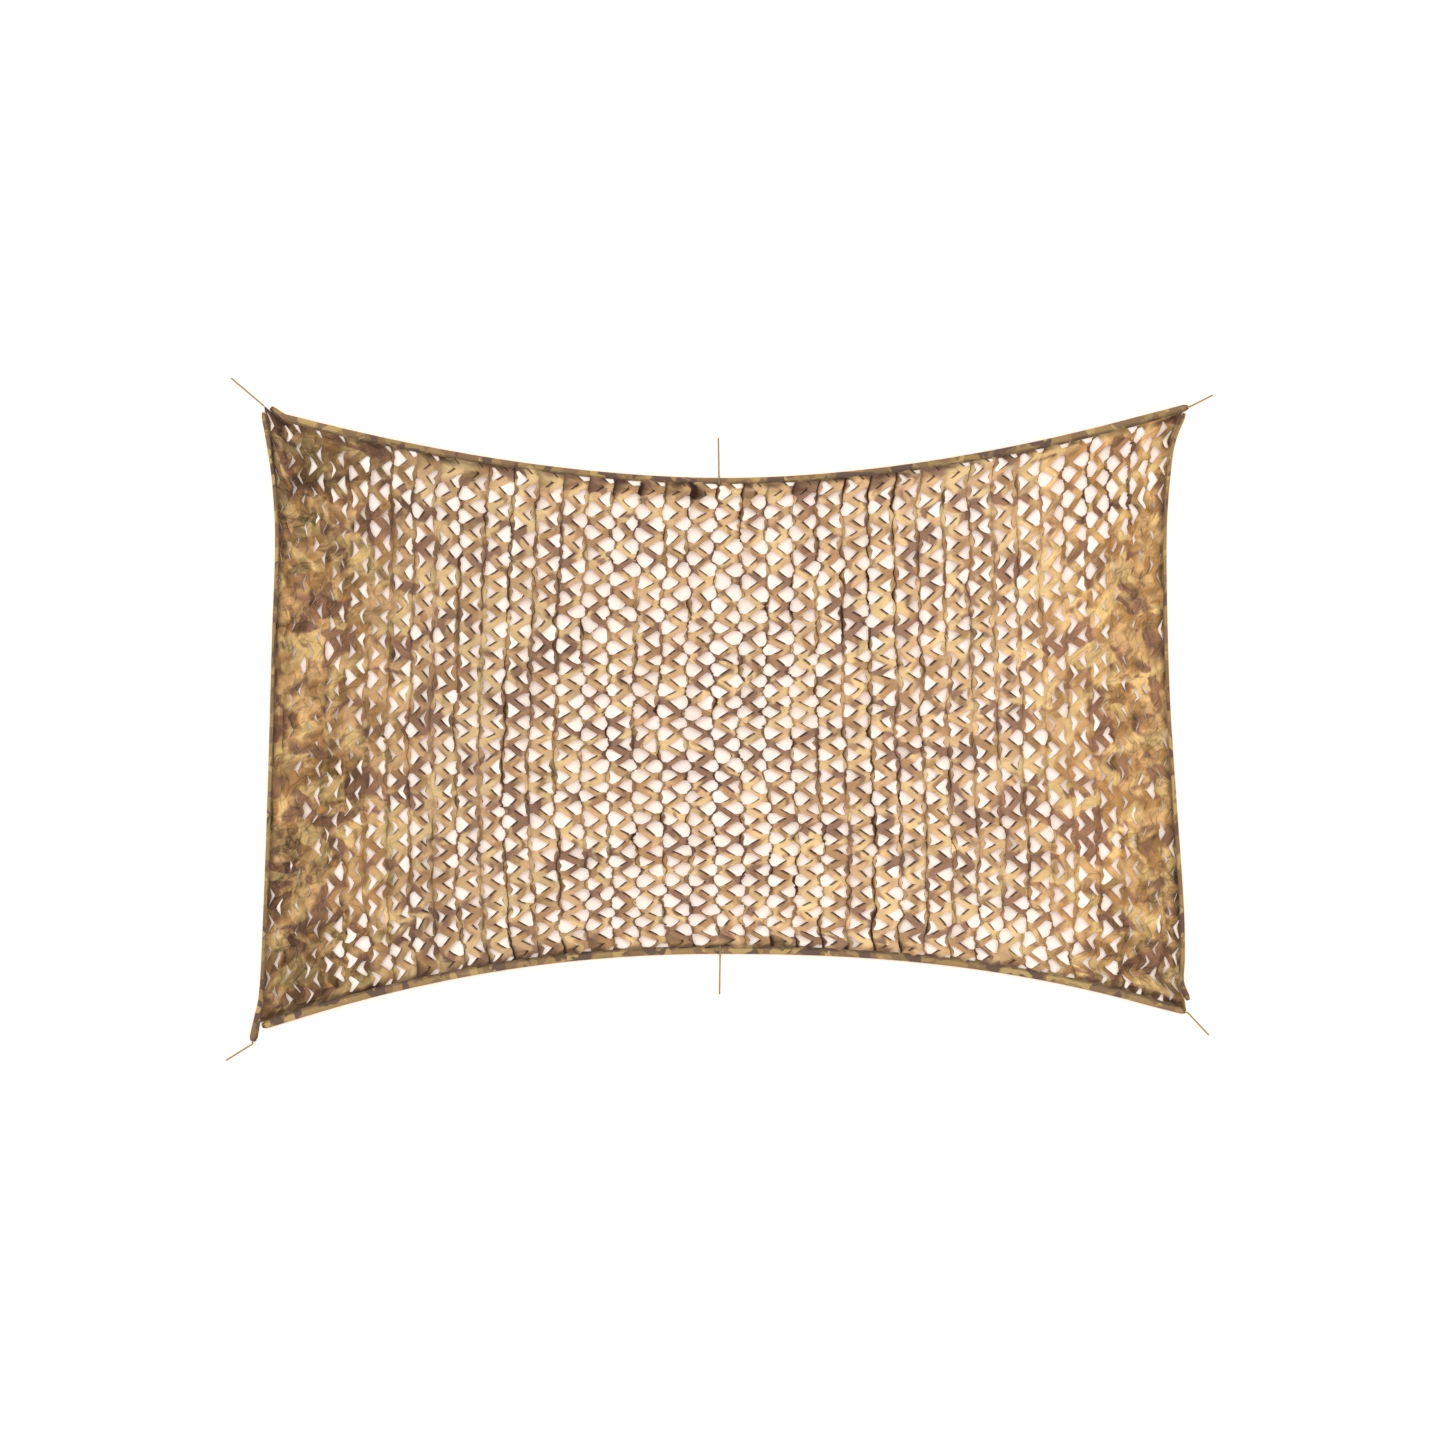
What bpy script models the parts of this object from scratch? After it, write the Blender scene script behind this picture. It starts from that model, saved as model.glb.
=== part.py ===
"""Camouflage netting of the 3 m by 2 m size, spread out flat on the ground.

One cut cloth net, with its rows of leaf cuts pulled open in the middle and
nearly shut at the two sides, four bindings sewn round its edge, and six cords:
one at each corner and one tied over the middle of each long edge.

Metres, +X along the long edge, +Y across, +Z up from the ground.  The origin
is on the ground under the middle of the cloth.
"""

import math

import bmesh
import bpy
from mathutils import Vector
from mathutils.geometry import intersect_line_line_2d

MM = 0.001

# --- driving dimensions, metres -------------------------------------------

GAP = 0.3 * MM               # clearance between pieces that touch
SHEET_THICKNESS = 2.0 * MM   # cut cloth with its coating and curl
RIM_HEIGHT = 2.0 * MM        # underside of the sheet where it meets a binding
RIDGE_HEIGHT = 18.0 * MM     # how far the pulled seams stand off the ground
RIDGE_UNEVEN = 0.22          # share by which that height comes and goes
VALLEY_SHARE = 0.25          # share of the way up to a seam that lies flat
FOLD_HEIGHT = 15.0 * MM      # how high the slack side folds stand
OPEN_SHARE = 0.70            # share of the half width that is pulled open
SLACK_BLEND = 0.10           # share over which ridges give way to side folds

# middle of the cloth's box in the drawing's own axes, taken off every place
DRAWING_CENTRE = (-0.0002, -0.0090)

# The long edges hang between their corners like slack ropes.  Each half has
# the corner it runs to, how steeply it climbs, and the kick of its loose tip.
TOP_EDGE = {
    "middle": (0.016, 0.774),
    "halves": (
        {"corner_x": -1.455, "rise": 0.217, "power": 1.85, "tip_rise": 0.021},
        {"corner_x": 1.516, "rise": 0.240, "power": 1.85, "tip_rise": 0.0},
    ),
}
BOTTOM_EDGE = {
    "middle": (-0.016, -0.745),
    "halves": (
        {"corner_x": -1.4835, "rise": -0.246, "power": 2.05, "tip_rise": 0.0},
        {"corner_x": 1.507, "rise": -0.201, "power": 2.4, "tip_rise": 0.0},
    ),
}
TIP_LENGTH = 0.049           # stretch over which a loose tip kicks up

# The short edges bow inwards.  Rows: share of the way down, bow in metres.
LEFT_EDGE = {
    "top": (-1.480, 0.996),
    "bottom": (-1.513, -1.040),
    "bow": (
        (0.00, 0.000), (0.05, 0.020), (0.11, 0.040), (0.20, 0.053),
        (0.36, 0.048), (0.60, 0.042), (0.80, 0.034), (0.93, 0.025),
        (0.97, 0.011), (1.00, 0.000),
    ),
}
RIGHT_EDGE = {
    "top": (1.5045, 0.993),
    "bottom": (1.517, -0.907),
    "bow": (
        (0.00, 0.000), (0.05, -0.038), (0.11, -0.055), (0.19, -0.067),
        (0.33, -0.068), (0.50, -0.060), (0.66, -0.042), (0.80, -0.025),
        (0.87, -0.019), (0.93, -0.019), (0.97, -0.022), (1.00, 0.000),
    ),
}

# Binding widths.  Rows: share of the way along, width in metres.
BINDING_WIDTHS = {
    "top": ((0.00, 0.021), (0.04, 0.026), (0.50, 0.020), (0.94, 0.028), (1.00, 0.022)),
    "bottom": ((0.00, 0.024), (0.04, 0.029), (0.50, 0.025), (0.96, 0.027), (1.00, 0.018)),
    "left": ((0.00, 0.014), (0.10, 0.015), (0.90, 0.016), (0.96, 0.022), (1.00, 0.027)),
    "right": ((0.00, 0.014), (0.10, 0.015), (0.90, 0.017), (1.00, 0.019)),
}
BINDING_HEIGHT = 0.36        # height of a binding as a share of its width
BINDING_MIN_HEIGHT = 7.0 * MM
LONG_STATIONS = 28           # sections along a long binding
SHORT_STATIONS = 20          # sections along a short binding

# Half of a binding's section, going up.  Rows: share of half width, of height.
BINDING_SECTION = ((0.62, 0.0), (1.0, 0.24), (1.0, 0.62), (0.52, 1.0))

# The leaf cuts, counted in columns across and rows up.  Every second cut is
# made here, at twice its size.
COLUMNS = 38                 # columns of cuts from side to side
ROWS = 22                    # rows of cuts from bottom to top
CUT_STEP = 2                 # pitch of the cuts made here, in columns or rows
OUTER_CUT_COLUMN = 13        # last column of open cuts, counted from the middle
SIDE_SQUEEZE = 0.30          # how much narrower the columns get at the sides
NECK = 0.10                  # cloth left beside a seam, in columns
CUT_REACH = 1.14             # reach of a cut across from its seam, in columns
CUT_HALF_HEIGHT = 0.70       # half height of a cut, in rows
SIDE_OPENING = 0.50          # share of the reach left in the outermost cuts

# Half of a cut's outline.  Rows: share of the reach, share of the half height.
CUT_OUTLINE = ((0.0, 0.78), (0.38, 1.0), (1.0, 0.24))

LONGEST_FACE_EDGE = 0.14     # longer edges in the uncut sides are divided

# Side folds, in the slack cloth.  Rows: waves across, waves up, phase, share.
SIDE_FOLDS = ((26.0, 7.0, 0.6, 0.5), (17.0, -12.0, 1.1, 0.5))

CORD_DIAMETER = 4.5 * MM
CORD_SPACING = 2.0           # distance between a cord's points, in diameters
CORD_BEVEL = 2
CORD_FLOOR = CORD_DIAMETER / 2 + 0.1 * MM   # height of a cord's centre where it lies

# Corner cords.  Rows: name, the edges they leave between, height of the start
# over the ground, bare end.  One edge: the cord leaves the end of its binding.
CORNER_CORDS = (
    ("cord_top_left", ("top", "left"), 0.0032, (-1.584, 1.108)),
    ("cord_top_right", ("top",), 0.0040, (1.597, 1.053)),
    ("cord_bottom_left", ("left",), 0.0048, (-1.601, -1.103)),
    ("cord_bottom_right", ("bottom",), 0.0035, (1.584, -1.021)),
)
# Middle cords.  Rows: name, edge, place along it, reach beyond it, drift in x.
MIDDLE_CORDS = (
    ("cord_top_middle", "top", 0.4886, 0.130, -0.003),
    ("cord_bottom_middle", "bottom", 0.4962, 0.139, -0.002),
)

# --- colours ---------------------------------------------------------------

COLOURS = {
    "net": (0.46, 0.28, 0.14),
    "binding": (0.36, 0.25, 0.11),
    "cord": (0.55, 0.46, 0.35),
}


# --- the edges -------------------------------------------------------------

def smooth_table(table, place):
    """Read a short table of (place, value) rows with a smooth curve."""
    places = [row[0] for row in table]
    values = [row[1] for row in table]
    slopes = []
    for i in range(len(table)):
        before = max(i - 1, 0)
        after = min(i + 1, len(table) - 1)
        slopes.append((values[after] - values[before]) / (places[after] - places[before]))
    row = 0
    while row < len(table) - 2 and place > places[row + 1]:
        row += 1
    span = places[row + 1] - places[row]
    t = min(max((place - places[row]) / span, 0.0), 1.0)
    return (
        values[row] * (2 * t**3 - 3 * t**2 + 1)
        + slopes[row] * span * (t**3 - 2 * t**2 + t)
        + values[row + 1] * (3 * t**2 - 2 * t**3)
        + slopes[row + 1] * span * (t**3 - t**2)
    )


def placed(x, y):
    """A place of the drawing, moved so that the cloth is centred on the origin."""
    return Vector((x - DRAWING_CENTRE[0], y - DRAWING_CENTRE[1]))


def long_edge(edge, place):
    """A place along a long edge, from 0 at the left corner to 1 at the right."""
    left, right = edge["halves"]
    x = left["corner_x"] + (right["corner_x"] - left["corner_x"]) * place
    middle_x, middle_y = edge["middle"]
    half = left if x < middle_x else right
    reach = abs(half["corner_x"] - middle_x)
    out = abs(x - middle_x) / reach
    tip = max(0.0, out - (1 - TIP_LENGTH / reach)) * reach / TIP_LENGTH
    return placed(x, middle_y + half["rise"] * out ** half["power"] + half["tip_rise"] * tip**1.5)


def short_edge(edge, place):
    """A place along a short edge, from 0 at the top to 1 at the bottom."""
    top, bottom = edge["top"], edge["bottom"]
    x = top[0] + (bottom[0] - top[0]) * place + smooth_table(edge["bow"], place)
    return placed(x, top[1] + (bottom[1] - top[1]) * place)


EDGE_LINES = {
    "top": lambda place: long_edge(TOP_EDGE, place),
    "bottom": lambda place: long_edge(BOTTOM_EDGE, place),
    "left": lambda place: short_edge(LEFT_EDGE, place),
    "right": lambda place: short_edge(RIGHT_EDGE, place),
}
# which way along the edge's own left-hand normal the cloth lies
CLOTH_SIDE = {"top": -1, "bottom": 1, "left": 1, "right": -1}


def stations(edge):
    """Places along an edge, closer together towards its two ends."""
    count = LONG_STATIONS if edge in ("top", "bottom") else SHORT_STATIONS
    return [0.5 - 0.5 * math.cos(math.pi * i / count) for i in range(count + 1)]


def frame_at(edge, place):
    """The centre of a binding at a place, with its direction along and inwards."""
    step = 0.002
    before = EDGE_LINES[edge](max(place - step, 0.0))
    after = EDGE_LINES[edge](min(place + step, 1.0))
    along = (after - before).normalized()
    inwards = Vector((-along.y, along.x)) * CLOTH_SIDE[edge]
    return EDGE_LINES[edge](place), along, inwards


def binding_size(edge, place):
    width = smooth_table(BINDING_WIDTHS[edge], place)
    return width, max(width * BINDING_HEIGHT, BINDING_MIN_HEIGHT)


def inner_line(edge):
    """The cloth's line along a binding, a clearance away from its inner wall."""
    line = []
    for place in stations(edge):
        centre, _, inwards = frame_at(edge, place)
        line.append(centre + inwards * (binding_size(edge, place)[0] / 2 + GAP))
    return line


def lengthened(line, extra=0.06):
    """A line with a straight piece added at both ends."""
    first = line[0] + (line[0] - line[1]).normalized() * extra
    last = line[-1] + (line[-1] - line[-2]).normalized() * extra
    return [first] + line + [last]


def crossing(line_a, line_b):
    """Where two lines cross: the segment of each, and the point."""
    for i in range(len(line_a) - 1):
        for j in range(len(line_b) - 1):
            point = intersect_line_line_2d(line_a[i], line_a[i + 1], line_b[j], line_b[j + 1])
            if point:
                return i, j, point
    raise ValueError("these edges do not meet")


def cloth_edges():
    """The four edges of the cloth, each cut off where it meets its neighbours."""
    lines = {edge: lengthened(inner_line(edge)) for edge in EDGE_LINES}
    cuts = {edge: {} for edge in lines}
    for long_name in ("top", "bottom"):
        for short_name in ("left", "right"):
            i, j, point = crossing(lines[long_name], lines[short_name])
            cuts[long_name]["first" if short_name == "left" else "last"] = (i, point)
            cuts[short_name]["first" if long_name == "top" else "last"] = (j, point)
    edges = {}
    for edge, line in lines.items():
        first, first_point = cuts[edge]["first"]
        last, last_point = cuts[edge]["last"]
        edges[edge] = [first_point] + line[first + 1:last + 1] + [last_point]
    return edges


# --- the cloth's own places --------------------------------------------------

def point_along(line, share):
    """The point at a share of a line's length."""
    lengths = [(b - a).length for a, b in zip(line, line[1:])]
    left = min(max(share, 0.0), 1.0) * sum(lengths)
    for length, a, b in zip(lengths, line, line[1:]):
        if left <= length:
            return a.lerp(b, left / length)
        left -= length
    return line[-1]


def column_share(column):
    """Where a column lies from side to side; columns narrow towards the sides."""
    half = COLUMNS / 2
    c = column / half
    return 0.5 + 0.5 * (c - SIDE_SQUEEZE * c**3 / 3) / (1 - SIDE_SQUEEZE / 3)


def cloth_point(edges, column, row):
    """The place of a column and a row, blended between the four edges."""
    u = column_share(column)
    v = row / ROWS
    bottom, top = point_along(edges["bottom"], u), point_along(edges["top"], u)
    left, right = point_along(edges["left"], 1 - v), point_along(edges["right"], 1 - v)
    low = edges["bottom"][0].lerp(edges["bottom"][-1], u)
    high = edges["top"][0].lerp(edges["top"][-1], u)
    return bottom.lerp(top, v) + left.lerp(right, u) - low.lerp(high, v)


def cut_columns():
    return range(-OUTER_CUT_COLUMN, OUTER_CUT_COLUMN + 1, CUT_STEP)


def cut_outline(edges, column, row, side):
    """One leaf cut beside a seam: blunt at the seam and narrowing away from it."""
    openness = 1 - (1 - SIDE_OPENING) * (abs(column) / OUTER_CUT_COLUMN) ** 2
    reach = CUT_REACH * openness
    half = [(side * (NECK + share * reach), up * CUT_HALF_HEIGHT) for share, up in CUT_OUTLINE]
    steps = half + [(across, -up) for across, up in reversed(half)]
    return [cloth_point(edges, column + across, row + up) for across, up in steps]


def all_cuts(edges):
    """Cuts to the left of each seam on odd rows and to its right on even rows."""
    cuts = []
    for column in cut_columns():
        for row in range(1, ROWS):
            side = -1 if row % 2 else 1
            cuts.append(cut_outline(edges, column, row, side))
    return cuts


def relief(x, y, half_width):
    """Height of the sheet's underside: pulled seams are ridges, the sides fold."""
    half_pitch = half_width * CUT_STEP / COLUMNS
    ridge = 0.0
    for column in cut_columns():
        seam_x = (2 * column_share(column) - 1) * half_width
        near = 1 - abs(x - seam_x) / half_pitch
        near *= 1 - RIDGE_UNEVEN * (0.5 + 0.5 * math.sin(3.0 * y + 2.3 * column))
        ridge = max(ridge, (near - VALLEY_SHARE) / (1 - VALLEY_SHARE))
    folds = 0.0
    for across, up, phase, part in SIDE_FOLDS:
        folds += part * (0.5 + 0.5 * math.sin(across * x + up * y + phase * math.pi))
    slack = (abs(x) / half_width - OPEN_SHARE) / SLACK_BLEND
    slack = min(max(slack, 0.0), 1.0)
    return RIDGE_HEIGHT * ridge * (1 - slack) + FOLD_HEIGHT * folds**2 * slack


# --- making the pieces -------------------------------------------------------

def clear_scene():
    for thing in list(bpy.data.objects):
        bpy.data.objects.remove(thing, do_unlink=True)


def make_material(name, colour, roughness):
    material = bpy.data.materials.new(name)
    material.use_nodes = True
    shader = material.node_tree.nodes["Principled BSDF"]
    shader.inputs["Base Color"].default_value = (*colour, 1.0)
    shader.inputs["Roughness"].default_value = roughness
    shader.inputs["Metallic"].default_value = 0.0
    return material


def add_object(name, data, collection, material):
    thing = bpy.data.objects.new(name, data)
    data.materials.append(material)
    collection.objects.link(thing)
    return thing


def closed_spline(curve, points):
    spline = curve.splines.new("POLY")
    spline.points.add(len(points) - 1)
    for place, point in zip(spline.points, points):
        place.co = (point.x, point.y, 0.0, 1.0)
    spline.use_cyclic_u = True


def flat_cloth(edges):
    """The cloth's outline and cuts as a filled flat curve, made into a mesh."""
    curve = bpy.data.curves.new("cloth_pattern", "CURVE")
    curve.dimensions = "2D"
    curve.fill_mode = "FRONT"
    outline = edges["top"][:-1] + edges["right"][:-1]
    outline += edges["bottom"][:0:-1] + edges["left"][:0:-1]
    closed_spline(curve, outline)
    for cut in all_cuts(edges):
        closed_spline(curve, cut)
    pattern = bpy.data.objects.new("cloth_pattern", curve)
    bpy.context.scene.collection.objects.link(pattern)
    graph = bpy.context.evaluated_depsgraph_get()
    mesh = bpy.data.meshes.new_from_object(pattern.evaluated_get(graph))
    bpy.data.objects.remove(pattern, do_unlink=True)
    return mesh


def make_net(edges, collection, material):
    """The cut sheet: fill, divide its bare sides, thicken upwards, then raise."""
    mesh = flat_cloth(edges)
    sheet = bmesh.new()
    sheet.from_mesh(mesh)
    bmesh.ops.remove_doubles(sheet, verts=sheet.verts, dist=0.01 * MM)
    bmesh.ops.triangulate(sheet, faces=sheet.faces)
    for _ in range(2):
        bmesh.ops.beautify_fill(sheet, faces=sheet.faces, edges=sheet.edges)
        inner = [edge for edge in sheet.edges if not edge.is_boundary]
        long_ones = [edge for edge in inner if edge.calc_length() > LONGEST_FACE_EDGE]
        bmesh.ops.subdivide_edges(sheet, edges=long_ones, cuts=1)
        bmesh.ops.triangulate(sheet, faces=sheet.faces)
    bmesh.ops.beautify_fill(sheet, faces=sheet.faces, edges=sheet.edges)
    bmesh.ops.recalc_face_normals(sheet, faces=sheet.faces)
    rim = {(round(p.x, 5), round(p.y, 5)) for line in edges.values() for p in line}
    half_width = (edges["top"][-1].x - edges["top"][0].x) / 2
    for vert in sheet.verts:
        on_rim = (round(vert.co.x, 5), round(vert.co.y, 5)) in rim
        vert.co.z = RIM_HEIGHT if on_rim else relief(vert.co.x, vert.co.y, half_width)
    upper = bmesh.ops.extrude_face_region(sheet, geom=sheet.faces[:])["geom"]
    upper_verts = [item for item in upper if isinstance(item, bmesh.types.BMVert)]
    bmesh.ops.translate(sheet, verts=upper_verts, vec=(0, 0, SHEET_THICKNESS))
    bmesh.ops.triangulate(sheet, faces=sheet.faces)
    bmesh.ops.recalc_face_normals(sheet, faces=sheet.faces)
    sheet.to_mesh(mesh)
    sheet.free()
    mesh.name = "net_panel"
    return add_object("net_panel", mesh, collection, material)


def binding_ring(edge, place):
    """A binding's section at a place: flat underneath and rounded on top."""
    centre, _, inwards = frame_at(edge, place)
    width, height = binding_size(edge, place)
    half = [(out * width / 2, up * height) for out, up in BINDING_SECTION]
    section = half + [(-out, up) for out, up in reversed(half)]
    return [(centre + inwards * out).to_3d() + Vector((0, 0, up)) for out, up in section]


def make_binding(edge, collection, material):
    """A sewn tube along one edge, lofted through its sections."""
    mesh = bpy.data.meshes.new("binding_" + edge)
    tube = bmesh.new()
    rings = [[tube.verts.new(p) for p in binding_ring(edge, place)] for place in stations(edge)]
    for ring, following in zip(rings, rings[1:]):
        for i in range(len(ring)):
            j = (i + 1) % len(ring)
            tube.faces.new((ring[i], ring[j], following[j], following[i]))
    tube.faces.new(rings[0])
    tube.faces.new(rings[-1])
    bmesh.ops.recalc_face_normals(tube, faces=tube.faces)
    tube.to_mesh(mesh)
    tube.free()
    return add_object("binding_" + edge, mesh, collection, material)


def smooth_route(places, step):
    """Points a step apart on one smooth curve through a cord's few places."""
    dense = []
    ends = [2 * places[0] - places[1]] + places + [2 * places[-1] - places[-2]]
    for a, b, c, d in zip(ends, ends[1:], ends[2:], ends[3:]):
        for i in range(24):
            t = i / 24
            dense.append(0.5 * (
                2 * b + (c - a) * t + (2 * a - 5 * b + 4 * c - d) * t**2
                + (3 * b - a - 3 * c + d) * t**3
            ))
    dense.append(places[-1])
    count = max(3, round(sum((b - a).length for a, b in zip(dense, dense[1:])) / step))
    points = [point_along(dense, i / count) for i in range(count + 1)]
    return [Vector((p.x, p.y, max(p.z, CORD_FLOOR))) for p in points]


def make_cord(name, places, collection, material):
    curve = bpy.data.curves.new(name, "CURVE")
    curve.dimensions = "3D"
    curve.bevel_depth = CORD_DIAMETER / 2
    curve.bevel_resolution = CORD_BEVEL
    curve.use_fill_caps = True
    points = smooth_route(places, CORD_SPACING * CORD_DIAMETER)
    spline = curve.splines.new("POLY")
    spline.points.add(len(points) - 1)
    for place, point in zip(spline.points, points):
        place.co = (*point, 1.0)
    return add_object(name, curve, collection, material)


def corner_cord_places(cloth, edges, height, end):
    """Out of a corner, down to the ground and straight on along it."""
    end = placed(*end)
    if len(edges) == 2:
        corner = cloth[edges[0]][0]
        along = (end - corner).normalized()
        start = corner + along * 2 * GAP
    else:
        start, along, _ = frame_at(edges[0], 1.0)
        start = start + along * 2 * GAP
    out = start + along * 2 * CORD_DIAMETER
    drop = height - CORD_FLOOR
    places = [(start, drop), (start.lerp(out, 0.6), drop), (out, drop * 0.6)]
    places += [(out.lerp(end, share), 0.0) for share in (0.25, 0.6, 1.0)]
    return [place.to_3d() + Vector((0, 0, CORD_FLOOR + up)) for place, up in places]


def middle_cord_places(edge, place, reach, drift):
    """Over the binding from the cloth's side, down its outside and straight out."""
    centre, _, inwards = frame_at(edge, place)
    width, height = binding_size(edge, place)
    half = width / 2
    over = height + CORD_DIAMETER / 2 + 3 * GAP
    steps = (
        (half + 2 * MM, over - 0.4 * MM), (half - 3 * MM, over), (0.0, over),
        (-half + 3 * MM, over - 0.3 * MM),
        (-half - 5 * MM, CORD_FLOOR + 0.45 * (over - CORD_FLOOR)),
        (-half - 14 * MM, CORD_FLOOR), (-half - 0.5 * reach, CORD_FLOOR),
        (-half - reach, CORD_FLOOR),
    )
    route = []
    for inward, up in steps:
        share = max(0.0, -inward - half) / reach
        across = Vector((drift * share, 0.0))
        route.append((centre + inwards * inward + across).to_3d() + Vector((0, 0, up)))
    return route


def main():
    clear_scene()
    parts = bpy.data.collections.new("camouflage_netting")
    bpy.context.scene.collection.children.link(parts)
    net_cloth = make_material("net_cloth", COLOURS["net"], 0.8)
    binding_cloth = make_material("binding_cloth", COLOURS["binding"], 0.75)
    cord_braid = make_material("cord_braid", COLOURS["cord"], 0.8)
    edges = cloth_edges()
    make_net(edges, parts, net_cloth)
    for edge in EDGE_LINES:
        make_binding(edge, parts, binding_cloth)
    for name, leaves, height, end in CORNER_CORDS:
        places = corner_cord_places(edges, leaves, height, end)
        make_cord(name, places, parts, cord_braid)
    for name, edge, place, reach, drift in MIDDLE_CORDS:
        make_cord(name, middle_cord_places(edge, place, reach, drift), parts, cord_braid)


main()
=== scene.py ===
import math

import bpy
import numpy as np
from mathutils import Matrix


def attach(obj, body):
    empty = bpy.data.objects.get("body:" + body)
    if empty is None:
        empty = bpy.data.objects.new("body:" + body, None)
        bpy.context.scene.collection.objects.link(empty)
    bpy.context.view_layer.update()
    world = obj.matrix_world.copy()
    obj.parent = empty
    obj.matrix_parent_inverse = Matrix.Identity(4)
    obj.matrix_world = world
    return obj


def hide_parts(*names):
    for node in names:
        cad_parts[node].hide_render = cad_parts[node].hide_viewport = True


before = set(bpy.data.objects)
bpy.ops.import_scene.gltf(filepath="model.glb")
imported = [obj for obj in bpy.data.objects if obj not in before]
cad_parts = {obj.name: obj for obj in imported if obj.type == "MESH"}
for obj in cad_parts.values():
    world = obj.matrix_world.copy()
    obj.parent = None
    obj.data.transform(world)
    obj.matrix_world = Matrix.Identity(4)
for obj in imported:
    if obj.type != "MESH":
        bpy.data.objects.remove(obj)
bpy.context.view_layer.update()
mm = 0.001


def srgb(hexColour):
    # each byte of the hex value turned to linear light
    parts = [int(hexColour[i:i + 2], 16) / 255 for i in (1, 3, 5)]
    return tuple(p / 12.92 if p <= 0.04045 else ((p + 0.055) / 1.055) ** 2.4 for p in parts) + (1.0,)


def addNode(tree, kind, settings=None, links=None):
    # settings are the node's own values or its sockets'; links feed sockets, from a node by its first output
    node = tree.nodes.new("ShaderNode" + kind)
    for key, value in (settings or {}).items():
        if isinstance(key, str) and hasattr(node, key):
            setattr(node, key, value)
        else:
            node.inputs[key].default_value = value
    for key, source in (links or {}).items():
        tree.links.new(getattr(source, "outputs", [source])[0], node.inputs[key])
    return node


def newMaterial(name, surface):
    material = bpy.data.materials.new(name)
    material.use_nodes = True
    shader = material.node_tree.nodes["Principled BSDF"]
    for key, value in surface.items():
        shader.inputs[key].default_value = value
    return material, material.node_tree, shader


def addObject(name, data):
    thing = bpy.data.objects.new(name, data)
    bpy.context.scene.collection.objects.link(thing)
    return thing


def addMesh(name, points, faces, material, uv=None, values=None, smooth=True):
    # uv and values hold one row or one number for each point
    mesh = bpy.data.meshes.new(name)
    mesh.from_pydata(points.reshape(-1, 3).tolist(), [], faces.tolist())
    mesh.validate()
    mesh.polygons.foreach_set("use_smooth", np.full(len(faces), smooth))
    if uv is not None:
        corners = uv.reshape(-1, 2)[faces.ravel()]
        mesh.uv_layers.new(name="cut").data.foreach_set("uv", corners.astype(np.float32).ravel())
    for key, value in (values or {}).items():
        mesh.attributes.new(key, "FLOAT", "POINT").data.foreach_set("value", value.astype(np.float32).ravel())
    mesh.materials.append(material)
    return addObject(name, mesh)


def gridFaces(rows, columns, closed=False):
    # each quad joins two neighbours of a row to the two beside them in the next row
    index = np.arange(rows * columns).reshape(rows, columns)
    stop = columns if closed else columns - 1
    here, right = index[:, :stop], np.roll(index, -1, axis=1)[:, :stop]
    return np.stack([here[:-1], right[:-1], right[1:], here[1:]], -1).reshape(-1, 4)


def step(low, high, value):
    # smooth rise from 0 to 1 between two values
    share = np.clip((value - low) / (high - low), 0, 1)
    return share * share * (3 - 2 * share)


def unit(vectors):
    return vectors / np.linalg.norm(vectors, axis=-1, keepdims=True)


def drift(seed, across, up):
    # smooth chance field: normal values on a unit lattice, blended between its points
    table = np.random.default_rng(seed).normal(0, 1, (64, 64))
    i, j = np.floor(across).astype(int), np.floor(up).astype(int)
    s, t = step(0, 1, across - i), step(0, 1, up - j)
    low, high = (table[i % 64, k % 64] * (1 - s) + table[(i + 1) % 64, k % 64] * s for k in (j, j + 1))
    return low * (1 - t) + high * t


# The photograph looks straight down on the laid net and is 4.67 m across.
room = {
    "pixels": 1440, "pixel": 3.24 * mm,
    "middle": (0.0002, 0.0090),  # the place its middle shows
    "lens": 100.0, "sensor": 36.0, "farthest": 100,
    "floorHalf": 30.0, "floorDrop": 0.3 * mm, "floorColour": "#f8e9df",
    "glowColour": "#ffdcc4", "glow": 0.11,  # it keeps the shadows in the holes pale
    "skyColour": "#ffffff", "skyStrength": 0.98,
    # the light comes from the top edge; degrees
    "keyPlace": (0, 3, 4), "keyStrength": 1.08, "keyTilt": 20.0, "keyTurn": 20.0, "keySpread": 60.0,
}


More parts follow.
